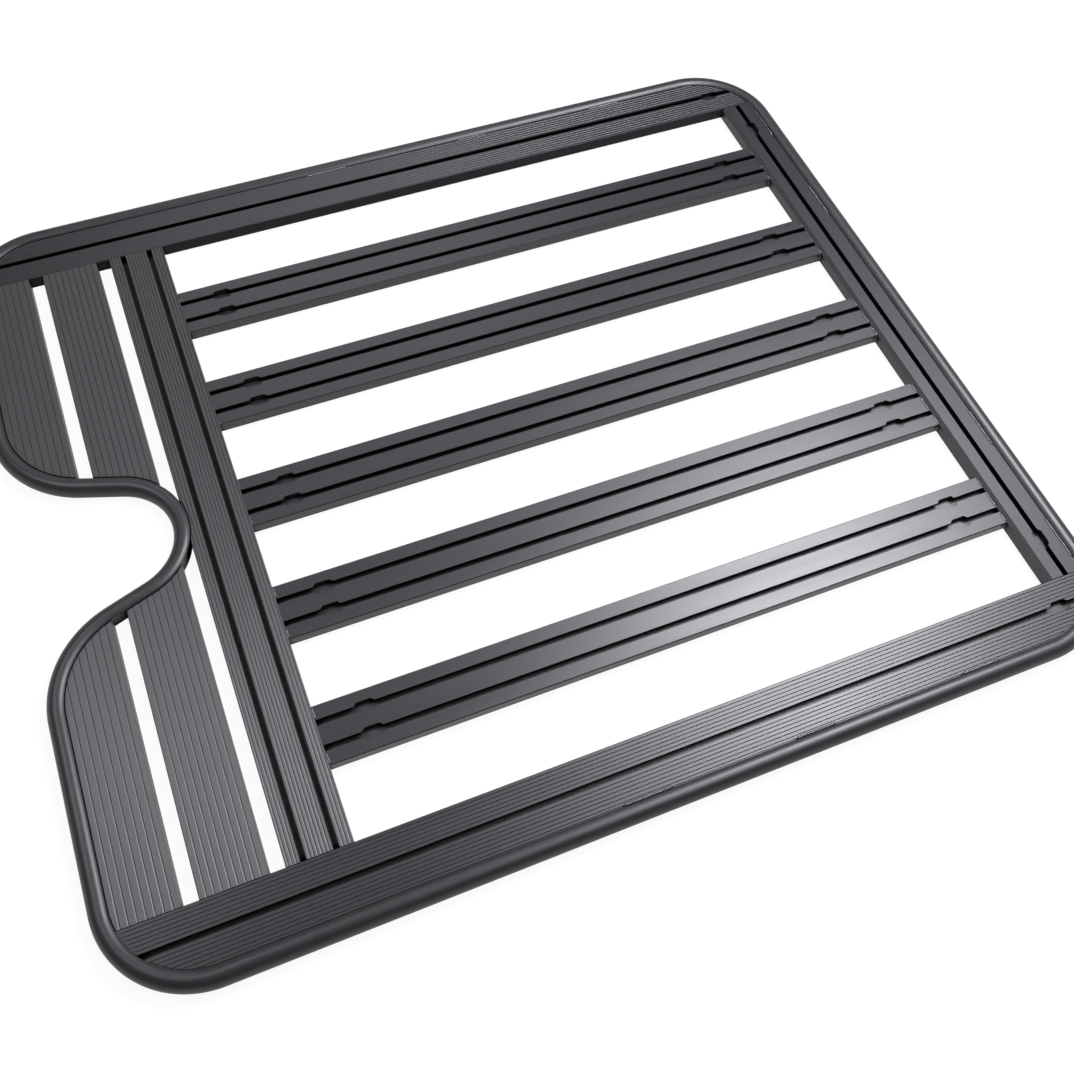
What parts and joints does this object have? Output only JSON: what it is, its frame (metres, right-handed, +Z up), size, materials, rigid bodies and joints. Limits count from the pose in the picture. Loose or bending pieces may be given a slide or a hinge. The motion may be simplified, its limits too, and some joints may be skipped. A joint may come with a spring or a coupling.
{
  "type": "roof rack",
  "caption": "Flat platform roof rack: slats with accessory channels between planks and cross-members, inside a bent tube frame with a notch at the rear.",
  "frame": {"origin": "under the middle of the rack, at the level of the frame tube's lowest line", "axes": "+X along the slats to the front, away from the notch; +Y to the left; +Z up"},
  "size_m": [1.409, 1.235, 0.028],
  "materials": {
    "tube": "satin",
    "planks": "satin",
    "slats": "satin"
  },
  "bodies": {
    "root": {"front_rail": "tube", "front_left_corner": "tube", "left_rail": "tube", "rear_left_corner": "tube", "rear_left_rail": "tube", "notch_mouth_left": "tube", "notch_loop": "tube", "notch_mouth_right": "tube", "rear_right_rail": "tube", "rear_right_corner": "tube", "right_rail": "tube", "front_right_corner": "tube", "slat_1": "slats", "slat_2": "slats", "slat_3": "slats", "slat_4": "slats", "slat_5": "slats", "side_plank_left": "planks", "side_plank_right": "planks", "rear_inner_plank_left": "planks", "rear_inner_plank_right": "planks", "rear_outer_plank_left": "planks", "rear_outer_plank_right": "planks", "rear_cross_member": "planks", "front_cross_member": "planks"}
  },
  "joints": []
}
